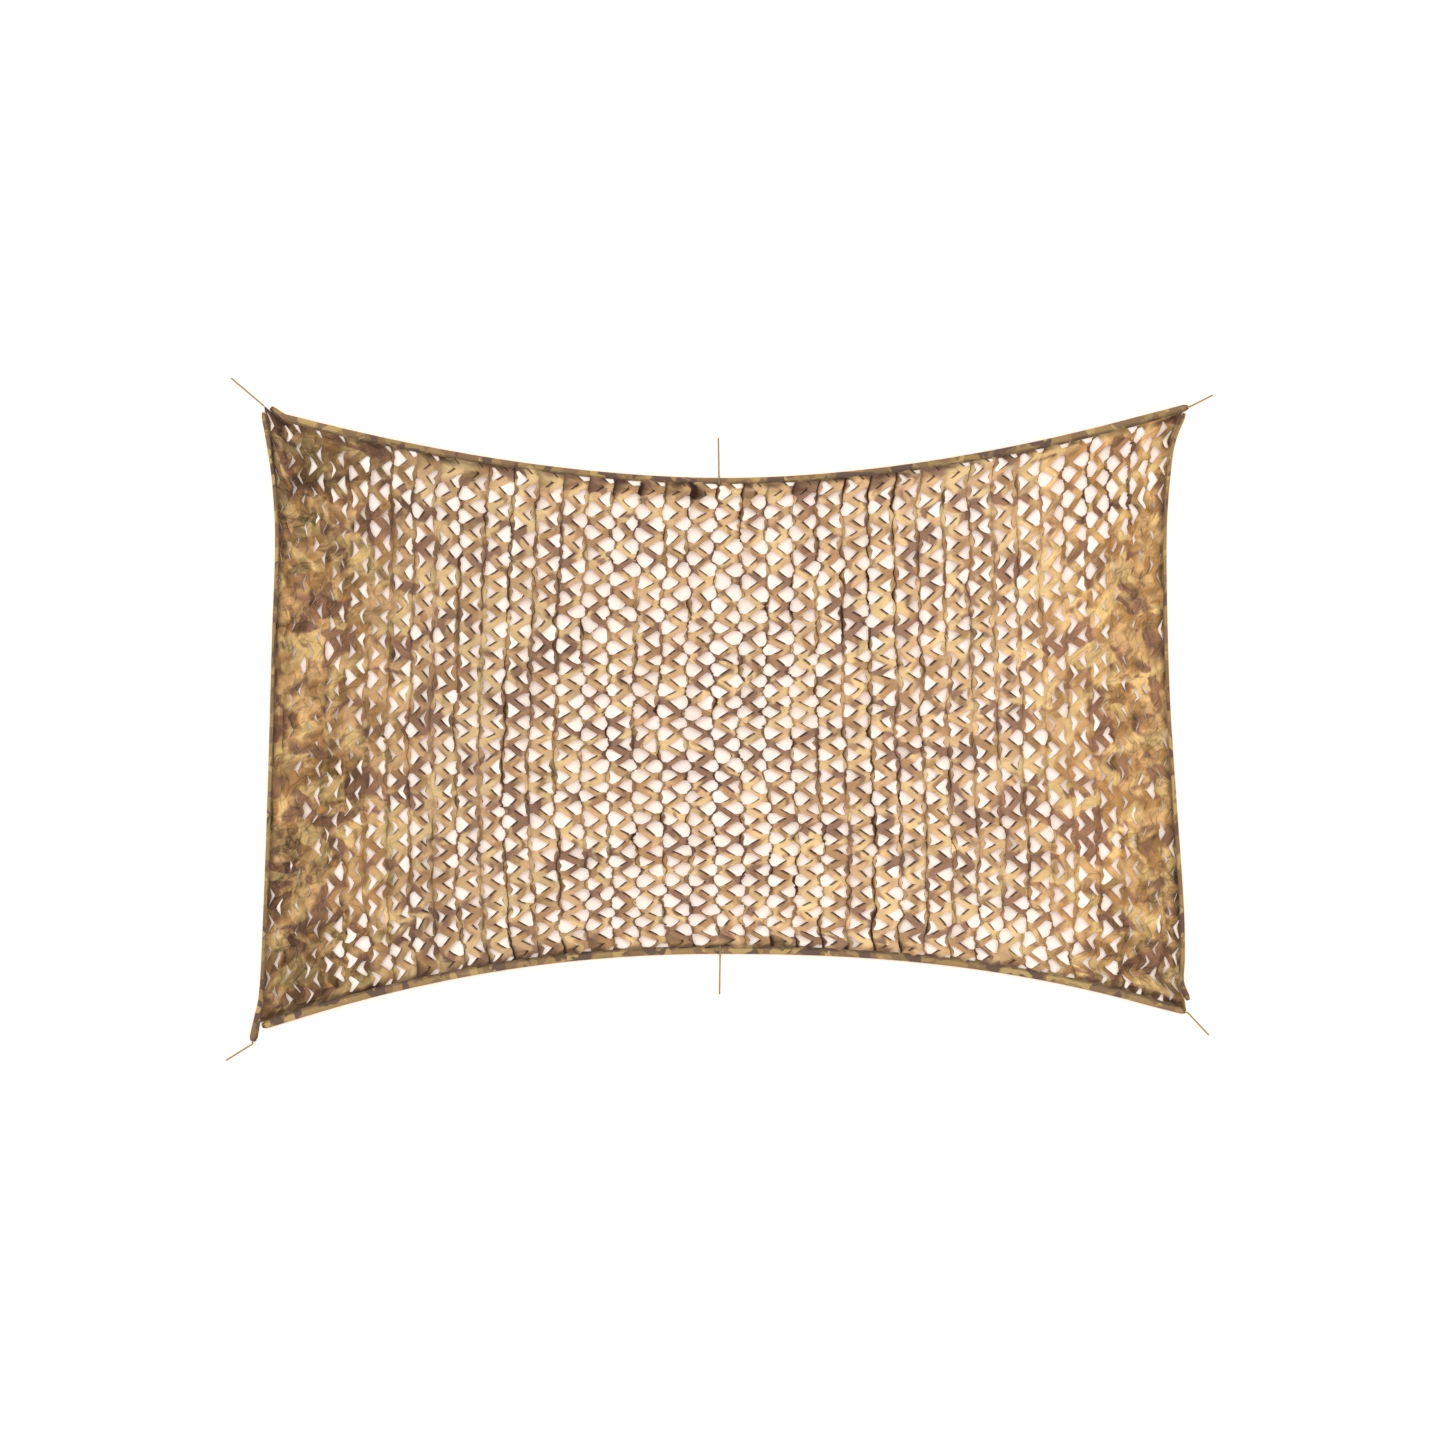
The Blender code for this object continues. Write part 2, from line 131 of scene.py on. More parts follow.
def makeRoom():
    camera = bpy.data.cameras.new("photoCamera")
    camera.lens, camera.sensor_width, camera.clip_end = room["lens"], room["sensor"], room["farthest"]
    eye = addObject("photoCamera", camera)
    eye.location = (*room["middle"], room["pixels"] * room["pixel"] * room["lens"] / room["sensor"])
    bpy.context.scene.camera = eye
    bpy.context.scene.view_settings.view_transform = "Standard"

    # a wide even light, so the floor stays equally pale out to the frame
    light = bpy.data.lights.new("softKey", "SUN")
    light.energy = room["keyStrength"]
    light.angle = math.radians(room["keySpread"])
    key = addObject("softKey", light)
    key.location = room["keyPlace"]
    key.rotation_euler = (math.radians(-room["keyTilt"]), 0, math.radians(room["keyTurn"]))

    world = bpy.data.worlds.new("paleRoom")
    world.use_nodes = True
    sky = world.node_tree.nodes["Background"]
    sky.inputs["Color"].default_value = srgb(room["skyColour"])
    sky.inputs["Strength"].default_value = room["skyStrength"]
    bpy.context.scene.world = world

    # painted plaster: matt, so it takes soft shadows and shows no gleam
    plaster = newMaterial("matt painted plaster", {
        "Roughness": 0.9, "Base Color": srgb(room["floorColour"]),
        "Emission Color": srgb(room["glowColour"]), "Emission Strength": room["glow"]})[0]
    corners = np.array([(-1, -1, 0), (1, -1, 0), (1, 1, 0), (-1, 1, 0)]) * room["floorHalf"]
    corners[:, 2] = -room["floorDrop"]
    addMesh("floor", corners, np.array([[0, 1, 2, 3]]), plaster, smooth=False)


makeRoom()
print("room and camera made")

# Lines through the middles of the four bindings, read off the photograph. Long edge: its middle, and for each
# half the corner's x, the rise to it, the curve's power and the rise of its tip. Short edge: its ends, and its
# bow in x at shares of its length.
plan = {
    "shift": room["middle"],
    "tip": 49 * mm, "tuck": 8 * mm,  # length of a corner's tip; how far the cloth goes under a tape
    "runOn": 60 * mm,  # how far an edge's line runs on, to cross the others
}
longEdges = {
    "top": {"middle": (0.016, 0.774), "left": (-1.455, 0.217, 1.85, 0.021), "right": (1.516, 0.240, 1.85, 0.0)},
    "bottom": {"middle": (-0.016, -0.745), "left": (-1.4835, -0.246, 2.05, 0.0), "right": (1.507, -0.201, 2.4, 0.0)},
}
shortEdges = {
    "left": {"top": (-1.480, 0.996), "bottom": (-1.513, -1.040), "bow": [
        (0, 0), (0.05, 0.020), (0.11, 0.040), (0.20, 0.053), (0.36, 0.048),
        (0.60, 0.042), (0.80, 0.034), (0.93, 0.025), (0.97, 0.011), (1, 0)]},
    "right": {"top": (1.5045, 0.993), "bottom": (1.517, -0.907), "bow": [
        (0, 0), (0.05, -0.038), (0.11, -0.055), (0.19, -0.067), (0.33, -0.068), (0.50, -0.060),
        (0.66, -0.042), (0.80, -0.025), (0.87, -0.019), (0.93, -0.019), (0.97, -0.022), (1, 0)]},
}
bindingWidths = {
    "top": [(0, 0.021), (0.04, 0.026), (0.50, 0.020), (0.94, 0.028), (1, 0.022)],
    "bottom": [(0, 0.024), (0.04, 0.029), (0.50, 0.025), (0.96, 0.027), (1, 0.018)],
    "left": [(0, 0.014), (0.10, 0.015), (0.90, 0.016), (0.96, 0.022), (1, 0.027)],
    "right": [(0, 0.014), (0.10, 0.015), (0.90, 0.017), (1, 0.019)],
}
clothSide = {"top": -1, "bottom": 1, "left": 1, "right": -1}  # the cloth's side, seen along the edge


def throughTable(table, place):
    # cubic through the table's values, its slope at each one taken from the two beside it
    at, value = np.array(table, float).T
    before = np.maximum(np.arange(len(at)) - 1, 0)
    after = np.minimum(np.arange(len(at)) + 1, len(at) - 1)
    slope = (value[after] - value[before]) / (at[after] - at[before])
    i = np.clip(np.searchsorted(at, place, side="right") - 1, 0, len(at) - 2)
    span = at[i + 1] - at[i]
    u = np.clip((place - at[i]) / span, 0, 1)
    low = value[i] * (2 * u**3 - 3 * u**2 + 1) + slope[i] * span * (u**3 - 2 * u**2 + u)
    return low + value[i + 1] * (3 * u**2 - 2 * u**3) + slope[i + 1] * span * (u**3 - u**2)


def edgeLine(name, share):
    # long edge: y rises as a power of the distance from its middle, and its tip kicks up
    # short edge: a straight line pushed sideways by its bow
    if name in longEdges:
        edge = longEdges[name]
        midX, midY = edge["middle"]
        x = edge["left"][0] + (edge["right"][0] - edge["left"][0]) * share
        cornerX, rise, power, tipRise = np.where((x < midX)[:, None], edge["left"], edge["right"]).T
        reach = np.abs(cornerX - midX)
        out = np.abs(x - midX) / reach
        tip = np.maximum(0, out - 1 + plan["tip"] / reach) * reach / plan["tip"]
        points = np.stack([x, midY + rise * out**power + tipRise * tip**1.5], -1)
    else:
        edge = shortEdges[name]
        top, bottom = np.array(edge["top"]), np.array(edge["bottom"])
        points = top + (bottom - top) * share[:, None]
        points[:, 0] += throughTable(edge["bow"], share)
    return points + plan["shift"]


def edgeFrame(name, share):
    # place, direction along the edge and direction towards the cloth
    along = unit(edgeLine(name, np.minimum(share + 0.002, 1)) - edgeLine(name, np.maximum(share - 0.002, 0)))
    return edgeLine(name, share), along, np.stack([-along[:, 1], along[:, 0]], -1) * clothSide[name]


def runAlong(line):
    # length from a line's start to each of its points
    return np.concatenate([[0], np.cumsum(np.linalg.norm(np.diff(line, axis=0), axis=1))])


def edgeLength(name):
    return runAlong(edgeLine(name, np.linspace(0, 1, 400)))[-1]


# places along an edge, closer together at its ends
edgeShares = 0.5 - 0.5 * np.cos(np.pi * np.linspace(0, 1, 400))


def innerSide(name, moved):
    # the binding's side by the cloth, moved towards the cloth and run on past both ends
    points, along, inwards = edgeFrame(name, edgeShares)
    line = points + inwards * (throughTable(bindingWidths[name], edgeShares) / 2 + moved)[:, None]
    return np.vstack([line[0] - along[0] * plan["runOn"], line, line[-1] + along[-1] * plan["runOn"]])


def crossing(first, second):
    # the first place where two point lines cross, and the stretch of each that it is on
    a, b = first[:-1, None], second[None, :-1]
    r, s = first[1:, None] - a, second[None, 1:] - b
    size = r[..., 0] * s[..., 1] - r[..., 1] * s[..., 0]
    gap = b - a
    t = (gap[..., 0] * s[..., 1] - gap[..., 1] * s[..., 0]) / size
    u = (gap[..., 0] * r[..., 1] - gap[..., 1] * r[..., 0]) / size
    i, j = np.argwhere((t >= 0) & (t <= 1) & (u >= 0) & (u <= 1))[0]
    return i, j, first[i] + (first[i + 1] - first[i]) * t[i, j]


def clothEdges():
    # each binding's inner side, moved out under the tape, cut where it meets the others
    tuck = plan["tuck"] * step(0.03, 0.08, np.minimum(edgeShares, 1 - edgeShares))
    lines = {name: innerSide(name, -tuck) for name in clothSide}
    cuts = {name: [None, None] for name in lines}
    for longName in longEdges:
        for shortName in shortEdges:
            i, j, place = crossing(lines[longName], lines[shortName])
            cuts[longName][shortName == "right"] = (i, place)
            cuts[shortName][longName == "bottom"] = (j, place)
    return {name: np.vstack([start, lines[name][i + 1:j + 1], end]) for name, ((i, start), (j, end)) in cuts.items()}


def alongLine(line, share):
    # places at shares of the line's length
    length = runAlong(line)
    return np.stack([np.interp(share, length / length[-1], line[:, i]) for i in (0, 1)], -1)


print("edge lines ready")

# One sheet, cut with leaf-shaped slits in columns that face left and right by turns.
# Columns are counted from the middle of the net, rows from its bottom edge.
net = {
    "columns": 38, "rows": 22,
    "columnPitch": 58.5 * mm, "rowPitch": 94 * mm,  # of the flat cut
    # pitch of the hung columns, in flat pitches, and how far the long edges depart from it
    "spread": [(-19, 1.0), (-16.5, 1.02), (-15, 1.17), (-12, 1.24), (-9, 1.31), (-6, 1.43), (6, 1.42),
               (9, 1.36), (12, 1.33), (15, 1.26), (16.5, 1.06), (19, 1.0)],
    "edgeShare": 0.6,
    "crowd": 0.08, "crowdReach": 15,  # rows lie closer at the bottom by this share, out to this column
    "wander": 4.2 * mm,  # unevenness of the seams in plan
    "bandHalf": 15 * mm,  # half the zigzag band between two seams
    "join": 20.5 * mm,  # from a seam to the middle of the band where they join
    "rowSteps": 10, "slitSteps": 4, "leafSteps": 4,
    "jag": 8.0 * mm, "fray": 2.4 * mm,  # how far the arms pull a seam sideways, and its fine unevenness
    "armTilt": 0.92, "strayTilt": 0.35,  # how far the pulled arms turn over, radians
    "armPulled": (66 * mm, 84 * mm),  # hung pitches between which the arms turn over
    "leafPulled": (65 * mm, 82 * mm),  # and between which the leaves fall short
    # heights, the share of the folds' height that they follow, and their unevenness
    "seamHeight": 5 * mm, "bandHeight": 7 * mm, "bandDrop": 1.5 * mm, "foldShare": 0.62,
    "seamUneven": 2.0 * mm, "bandUneven": 1.8 * mm,
    "rimHeight": 3.4 * mm, "rimReach": 28 * mm, "rimRow": 75 * mm,  # at the tape, how far in, and a hung row
    "tip": (-10 * mm, -1 * mm), "tipReach": 28 * mm,  # how far the lower right corner tucks back
    "floor": 1.0 * mm, "top": 27 * mm,  # lowest and highest place of the cloth
    # corners that are pulled open: columns, rows, spread in each, strength
    "pulled": [(15.5, 20.3, 2.6, 2.6, 1.0), (12.0, 1.6, 2.2, 1.6, 0.8), (-12.5, 20.5, 3.5, 1.5, 0.45)],
}
leaves = {
    "rolled": (-9.0, -3.0, 1.5, 7.5),  # columns where they start and stop to roll up, left to right
    "flatterTop": 0.35, "flatterBottom": 0.2,  # share by which they roll up less in the end rows
    "roll": 5.4, "ripple": 0.5, "twist": 0.3,  # turn of a rolled one, ripple of a flat one, lean; radians
    "lift": 0.9, "strayLift": 0.22,  # angle at the seam of a rolled one, and by chance of a flat one
    "sideUneven": 0.16, "placeUneven": 0.25, "oneUneven": 0.5,  # of the rolling: by seam side, by place, by leaf
    "slackLoose": 0.05, "midLoose": 0.11, "halfShut": 0.34,  # shares that roll up, or stay half shut, by chance
    "under": 0.35,  # share of the flat ones that lie under the band
    "rimLoose": 0.25,  # most at a side tape, which a rolled one would stick out past
    # shares of their length by which they lie over the band, fall short of it where pulled, and by chance
    "lap": 0.07, "short": 0.24, "gape": 0.30,
    "tongue": 5.5 * mm, "tongueFall": 2.2,  # how much longer a pulled one is at its middle
    "ragged": 5.0 * mm,  # unevenness of a rolled leaf's tip
}
# the solid's ridges in the pulled part, and the folds of the slack sides: crossing waves in radians
# per metre across and up, phase in half turns, share
folds = {
    "ridges": 13, "ridge": 17 * mm, "crowd": 0.1, "uneven": 0.22, "valley": 0.25,
    "openShare": 0.70, "blend": 0.10, "height": 13 * mm, "halfWidth": 1.505,
    "sides": [(26.0, 7.0, 0.6, 0.5), (17.0, -12.0, 1.1, 0.5)],
}


def columnShare(column, spread):
    # the pitches summed up from the left, mixed with even columns where spread is under 1
    half = net["columns"] / 2
    grid = np.linspace(-half, half, 40 * net["columns"] + 1)
    run = np.cumsum(np.interp(grid, *np.transpose(net["spread"])))
    run = (run - run[0]) / (run[-1] - run[0])
    return spread * np.interp(column, grid, run) + (1 - spread) * (column / half + 1) / 2


def netPlace(edges, column, row):
    # Coons patch: the four edges blended between each other, less the corners' own blend
    height = row / net["rows"]
    crowd = net["crowd"] * (1 - np.clip(np.abs(column) / net["crowdReach"], 0, 1) ** 2)
    up = height * (1 - crowd) + crowd * height**2
    rim = np.abs(2 * height - 1) ** 3
    across = columnShare(column, 1 - net["edgeShare"] * rim)
    bottom, top = alongLine(edges["bottom"], across), alongLine(edges["top"], across)
    left, right = alongLine(edges["left"], 1 - up), alongLine(edges["right"], 1 - up)
    u, v = across[:, None], up[:, None]
    low = edges["bottom"][0] * (1 - u) + edges["bottom"][-1] * u
    high = edges["top"][0] * (1 - u) + edges["top"][-1] * u
    return bottom * (1 - v) + top * v + left * (1 - u) + right * u - low * (1 - v) - high * v


def foldHeight(points):
    # ridges on every second seam, about 160 mm apart, and crossing waves squared at the slack sides
    x, y = points[..., 0], points[..., 1]
    seam = np.arange(-folds["ridges"], folds["ridges"] + 1, 2)
    pitch = folds["halfWidth"] / (net["columns"] / 2)
    share = seam / (net["columns"] / 2)
    ridgeX = (share - folds["crowd"] * share**3) / (1 - folds["crowd"]) * folds["halfWidth"]
    rise = 1 - folds["uneven"] * (0.5 + 0.5 * np.sin(3.0 * y[..., None] + 2.3 * seam))
    ridge = (((1 - np.abs(x[..., None] - ridgeX) / pitch) * rise).max(-1) - folds["valley"]) / (1 - folds["valley"])
    wave = sum(part * (0.5 + 0.5 * np.sin(across * x + up * y + phase * np.pi))
               for across, up, phase, part in folds["sides"])
    slack = np.clip((np.abs(x) / folds["halfWidth"] - folds["openShare"]) / folds["blend"], 0, 1)
    return folds["ridge"] * np.maximum(ridge, 0) * (1 - slack) + folds["height"] * wave**2 * slack + creased(x, y)[0]


# Creases of the slack cloth, and the painted light and shade on it.
creases = {
    "fields": [(7.0, 4.0, 5.0 * mm), (19.0, 13.0, 3.0 * mm), (44.0, 36.0, 1.3 * mm)],  # folds per metre, height
    "calm": 0.16,  # share of their height that is left in the middle of the net
    "mean": 0.32,  # of a chance ridge
    "corners": [(-1.46, 1.00), (1.50, 1.00), (1.50, -0.90), (-1.50, -1.03)],
    "cornerLight": [-1.25, 0.3, -1.2, -1.15],
    "cornerReach": 0.62, "cornerFolds": 9.0, "cornerHeight": 6 * mm,
    # painted light along the net: how light the cloth stands, from -1 at the left end to 1 at the right
    "alongNet": [(-1, -0.72), (-0.72, -0.48), (-0.45, -0.15), (-0.1, 0.36), (0.5, 0.36), (0.8, 0.22), (1, 0.05)],
}
shades = {
    "darkest": -1.6,
    "arm": 0.30, "leaf": 0.45,  # every arm and every leaf catches the light a little differently
    "seam": 1.22, "rim": 0.85,  # painted shade of the leaves at a seam, and painted shadow of the tape on the rim beside it
    "rimPlace": 10 * mm, "rimSpread": 13 * mm,
    "fold": -0.42, "foldFrom": 0.25, "foldMost": 0.45,  # painted shade in the deepest folds, a fuller brown as well as darker
}


def chanceRidge(seed, across, up):
    # 1 where a chance field passes zero, down to 0 beside it
    return (1 - np.minimum(np.abs(drift(seed, across, up)), 1)) ** 2


def creased(x, y):
    # sharp ridges, near a corner running out of it; gives their height and the painted light and shade on the cloth,
    # lighter on the ridges
    side = step(0.60, 0.90, np.abs(x) / folds["halfWidth"])
    height = 0 * x
    paintedLight = np.interp(x / folds["halfWidth"], *np.transpose(creases["alongNet"]))
    for number, (across, up, size) in enumerate(creases["fields"]):
        ridge = chanceRidge(80 + number, x * across + 0.4 * y * up, y * up - 0.3 * x * across)
        height = height + size * ridge * (creases["calm"] + (1 - creases["calm"]) * side)
        paintedLight = paintedLight + (ridge - creases["mean"]) * (0.25 + 0.45 * side)
    for number, (cornerX, cornerY) in enumerate(creases["corners"]):
        away = np.hypot(x - cornerX, y - cornerY)
        near = 1 - step(0.02, creases["cornerReach"], away)
        turn = np.arctan2(y - cornerY, x - cornerX)
        ridge = chanceRidge(90 + number, turn * creases["cornerFolds"], away * 4)
        height = height + creases["cornerHeight"] * ridge * near
        paintedLight = paintedLight + (1.1 * (ridge - creases["mean"]) + creases["cornerLight"][number]) * near
    return height, np.clip(paintedLight, shades["darkest"], 1)


def pulledOpen(column, row):
    # a bell round each pulled corner, flat on top
    bells = [strength * np.minimum(1.3 * np.exp(-((column - atColumn) / wide) ** 2 - ((row - atRow) / tall) ** 2), 1)
             for atColumn, atRow, wide, tall, strength in net["pulled"]]
    return np.max(bells, axis=0)


def openShare(seams, half):
    # 1 where leaves roll up: middle columns, less in the end rows, and pulled corners
    start, full, fade, stop = leaves["rolled"]
    rows = net["rows"]
    share = (step(start, full, seams) * (1 - step(fade, stop, seams)))[:, None] + 0 * half
    top, bottom = step(rows - 3.5, rows - 0.5, half), 1 - step(0.5, 3, half)
    share = share * (1 - leaves["flatterTop"] * top - leaves["flatterBottom"] * bottom)
    return np.maximum(share, pulledOpen(seams[:, None], half))


def leafTraits(seams, half, opened, rng):
    # what chance gives each seam's leaves at each half row, and each band's arms
    column, shape = np.abs(seams)[:, None], opened.shape
    chance = rng.random((3, *shape))
    bySide = rng.normal(0, leaves["sideUneven"], (len(seams), 2))[:, np.arange(shape[1]) % 2]
    byPlace = leaves["placeUneven"] * drift(60, seams[:, None] * 1.4, half / 1.5)
    loose = opened + (bySide + byPlace + leaves["oneUneven"] * (chance[0] - 0.5)) * (column < 13)
    stray = (chance[1] < leaves["slackLoose"] + leaves["midLoose"] * step(16, 12, column)) & (column >= 6)
    loose = np.where(stray, 0.4 + 0.6 * chance[0], np.clip(loose - 0.06, 0, 1))
    loose = np.where((chance[2] < leaves["halfShut"]) & (column < 10), 0.08 + 0.42 * chance[0], loose)
    loose[[0, -1]] = np.minimum(loose[[0, -1]], leaves["rimLoose"])
    # painted shade at the seams, in pieces, less where the net is slack
    dark = 0.66 + 0.18 * rng.normal(0, 1, (len(seams), 1)) + 0.45 * drift(61, seams[:, None] * 3.1, half * 1.6)
    dark = np.clip(dark, 0.12, 1) * (1 - 0.30 * step(7, 12, column) - 0.50 * step(12, 15, column))
    rimShut = rng.random((2, net["columns"], 2)) < 0.5
    flatTurn = 0.3 * chance[1] - 0.15
    traits = {"dark": dark * shades["seam"],
              "turn": leaves["roll"] * loose**1.6 * (0.85 + 0.3 * chance[1]) + flatTurn,
              "side": np.where((rng.random(shape) < leaves["under"]) & (loose < 0.45), -1.0, 1.0)}
    traits["lift"] = 0.04 + leaves["strayLift"] * rng.random(shape) * (1 - loose) + leaves["lift"] * loose
    ripple = leaves["ripple"] * np.sin(np.pi * np.clip(loose * 1.6 + 0.25, 0, 1))
    traits["ripple"] = ripple * rng.choice((-1, 1), shape)
    traits["lean"] = leaves["twist"] * rng.normal(0, 1, shape)
    arms = (net["columns"], 2 * net["rows"])
    armTilt = rng.normal(0, net["strayTilt"], arms)
    armLight = shades["arm"] * rng.normal(0, 1, arms)
    traits["paintedLight"] = shades["leaf"] * rng.normal(0, 1, shape)
    traits["blob"] = rng.random(shape)
    traits["gape"] = leaves["gape"] * np.clip(2 * rng.random(shape) - 0.9, 0, 1)
    return traits, rimShut, armTilt, armLight


def triangle(wave, rounding):
    # a sine turned to a triangle wave with rounded corners
    return np.arcsin(rounding * wave) / math.asin(rounding)


def netSurface():
    # stations across a panel: seam, leaf, slit, band, slit, leaf, next seam; rows go up the cloth
    edges = clothEdges()
    columns, rows, steps, leaf = net["columns"], net["rows"], net["rowSteps"], net["leafSteps"]
    pitch, join = net["columnPitch"], net["join"]
    row = np.arange(rows * steps + 1) / steps
    seams = np.arange(columns + 1) - columns / 2
    seamAt, rowAt = np.meshgrid(seams, row, indexing="ij")
    place = netPlace(edges, seamAt.ravel(), rowAt.ravel()).reshape(columns + 1, -1, 2)
    inside = np.clip(np.minimum(rowAt, rows - rowAt) / 1.5, 0, 1) * np.clip(columns / 2 - np.abs(seamAt), 0, 1)
    for axis in (0, 1):
        shake = 0.6 * drift(20 + axis, seamAt, rowAt * 2) + drift(30 + axis, seamAt / 2.6, rowAt / 1.8)
        place[..., axis] += net["wander"] * inside * shake
    left, right = place[:-1], place[1:]
    rise = np.gradient((left + right) / 2, row, axis=1)
    width, height = np.linalg.norm(right - left, axis=-1), np.linalg.norm(rise, axis=-1)
    across, upwards = unit(right - left), unit(rise)

    half = np.arange(2 * rows + 1)[None] / 2
    opened = openShare(seams, half)
    traits, rimShut, armTilt, armLight = leafTraits(seams, half, opened, np.random.default_rng(11))
    arm = np.floor(row * 2 - 1e-6).astype(int).clip(0, 2 * rows - 1)
    midArm = np.abs(np.sin(2 * np.pi * row))

    # the band zigzags by a triangle wave; its arms turn over and lean with the wave's slope
    phase = 2 * np.pi * (row - 0.25)
    zigzag = triangle(np.sin(phase), 0.97)
    slope = np.clip(np.cos(phase) / np.sqrt(1 - (0.97 * np.sin(phase)) ** 2) * 1.15, -1, 1)
    flatAngle = math.atan2(pitch - 2 * join, net["rowPitch"] / 2)
    turned = (np.arctan2(width - 2 * join, height / 2) - flatAngle) * slope
    pulled = step(*net["armPulled"], width)
    inOpen = 0.30 + 0.70 * (opened[:-1, :1] + opened[1:, :1]) / 2
    tilt = -net["armTilt"] * inOpen * pulled * slope + armTilt[:, arm] * midArm * (0.6 + 0.4 * pulled)
    centre = (left + right) / 2 + across * ((width / 2 - join) * zigzag)[..., None]
    flat = np.cos(tilt)
    bandCross = across * (np.cos(turned) * flat)[..., None] - upwards * (np.sin(turned) * flat)[..., None]

    # seams are pulled towards whichever arm joins them
    pull = triangle(np.cos(2 * np.pi * row), 0.96) * net["jag"] * inside
    pull = pull * (0.6 + 0.4 * step(11, 4, np.abs(seamAt))) * step(18, 13, np.abs(seamAt))
    pull = pull + net["fray"] * drift(63, seamAt * 5.3, rowAt * 6) * inside
    sideways = np.concatenate([across[:1], (across[1:] + across[:-1]) / 2, across[-1:]])
    seamPlace = place + sideways * pull[..., None]
    seamHeight = (net["seamHeight"] + net["foldShare"] * foldHeight(seamPlace)
                  + net["seamUneven"] * drift(40, seamAt * 1.3, rowAt * 2))
    seamPoints = np.concatenate([seamPlace, seamHeight[..., None]], -1)

    stations = 2 * leaf + 5
    points, cut = (np.zeros((columns, stations, len(row), size)) for size in (3, 2))
    edge, paintedShade, light = np.zeros((3, columns, stations, len(row)))
    flatZig = pitch / 2 + (pitch / 2 - join) * zigzag
    narrow = 1 + 0.10 * drift(43, seamAt[:-1] * 1.7, rowAt[:-1] * 2.3) * inside[:-1]
    narrow = narrow - 0.30 * np.minimum(pulledOpen(seamAt[:-1] + 0.5, rowAt[:-1]), 1)
    uneven = net["bandUneven"] * drift(41, seamAt[:-1] * 1.3 + 0.5, rowAt[:-1] * 2)
    for offset in (-1, 0, 1):
        station, b = leaf + 2 + offset, offset * net["bandHalf"] * narrow
        points[:, station, :, :2] = centre + bandCross * b[..., None]
        bandRise = net["bandHeight"] + net["foldShare"] * foldHeight(points[:, station]) + uneven
        points[:, station, :, 2] = bandRise - b * np.sin(tilt) - net["bandDrop"] * abs(offset)
        cut[:, station, :, 0] = flatZig + offset * net["bandHalf"]
        # painted light: each arm catches the light a little differently
        light[:, station] = armLight[:, arm] * midArm

    panel = np.arange(columns)
    # painted shade at the cut edges, weaker at the slack sides
    edgeShadeShare = 1 - 0.45 * step(11, 14, np.abs(seams[:-1] + 0.5))[:, None]
    slitHalf, slits = net["slitSteps"] / steps, []
    for side in (0, 1):
        # side 0: leaves right of the left seam, at half rows; side 1: left of the right one, at whole rows
        owner, sign = panel + side, 1 - 2 * side
        seamPoint, bandEdge = seamPoints[owner], points[:, leaf + 1 + 2 * side]
        centreRow = np.clip(np.floor(row) + 0.5, 0.5, rows - 0.5) if side == 0 else np.round(row)
        away = np.abs(row - centreRow)
        slit = away < slitHalf - 0.5 / steps
        slits.append(slit)
        free = step(0, 0.30, (slitHalf - away) / slitHalf)
        own = {key: trait[owner][:, (centreRow * 2).astype(int)] for key, trait in traits.items()}
        reach = side * pitch + sign * flatZig - net["bandHalf"]
        pulledWide = step(*net["leafPulled"], width)
        length = reach * (1 + leaves["lap"] - own["gape"] - (leaves["lap"] + leaves["short"]) * pulledWide)
        length = length + leaves["tongue"] * (1 - leaves["tongueFall"] * away / slitHalf) * pulledWide
        length = np.maximum(length, 0.12 * reach)
        ragged = drift(50 + side, owner[:, None] * 1.7 + 0 * row, owner[:, None] * 0.37 + row * 9)
        ragged = leaves["ragged"] * ragged * np.minimum(own["turn"] / 3, 1)
        shut = (rimShut[side][:, :1] & (centreRow < 0.6)) | (rimShut[side][:, 1:] & (centreRow > rows - 0.6))
        weight = (free * slit * ~shut)[..., None]
        out = up = np.zeros((columns, len(row)))
        for s in range(leaf + 1):
            # the leaf's section: short straight pieces, each at the slope in its middle
            share = s / leaf
            station = s if side == 0 else stations - 1 - s
            if s > 0:
                middle = share - 0.5 / leaf
                angle = own["lift"] + own["turn"] * middle + own["ripple"] * np.sin(2 * np.pi * middle + 0.6)
                out = out + np.cos(angle) * length / leaf
                up = up + np.sin(angle) * length / leaf
            curled = seamPoint.copy()
            lean = 0.4 * own["lean"] * share * length
            curled[..., :2] += (sign * across * (out + ragged * min(2.5 * share, 1))[..., None]
                                + upwards * lean[..., None])
            curled[..., 2] += up * own["side"]
            joined = seamPoint + (bandEdge - seamPoint) * share
            points[:, station] = joined * (1 - weight) + curled * weight
            cut[:, station, :, 0] = side * pitch + sign * share * reach
            # painted shade at a seam, on rolled leaves and at the roots of some others; each leaf gets its own
            # painted light
            rolled = 0.85 * np.clip(own["turn"] / 5 - 0.2, 0, 1) * free * slit * (0.8 + 0.2 * share)
            root = (0.35 + 0.75 * own["blob"]) * slit * (1 - share) ** (2.2 - 1.7 * own["blob"])
            paintedShade[:, station] = np.maximum(rolled, own["dark"] * (0.80 + 0.20 * slit if s == 0 else root))
            light[:, station] = own["paintedLight"] * slit * min(2 * share, 1)
        # painted shade on a leaf's tip and on a band's upper side, as its edge turns under
        edge[:, station] = (0.60 + 0.40 * np.exp(-(away / 0.13) ** 2)) * slit * edgeShadeShare
        edge[:, station + sign] = (0.5 + 0.5 * np.clip(sign * slope * 1.5, -1, 1)) * slit * edgeShadeShare
    cut[..., 0] += panel[:, None, None] * pitch
    cut[..., 1] = row * net["rowPitch"]

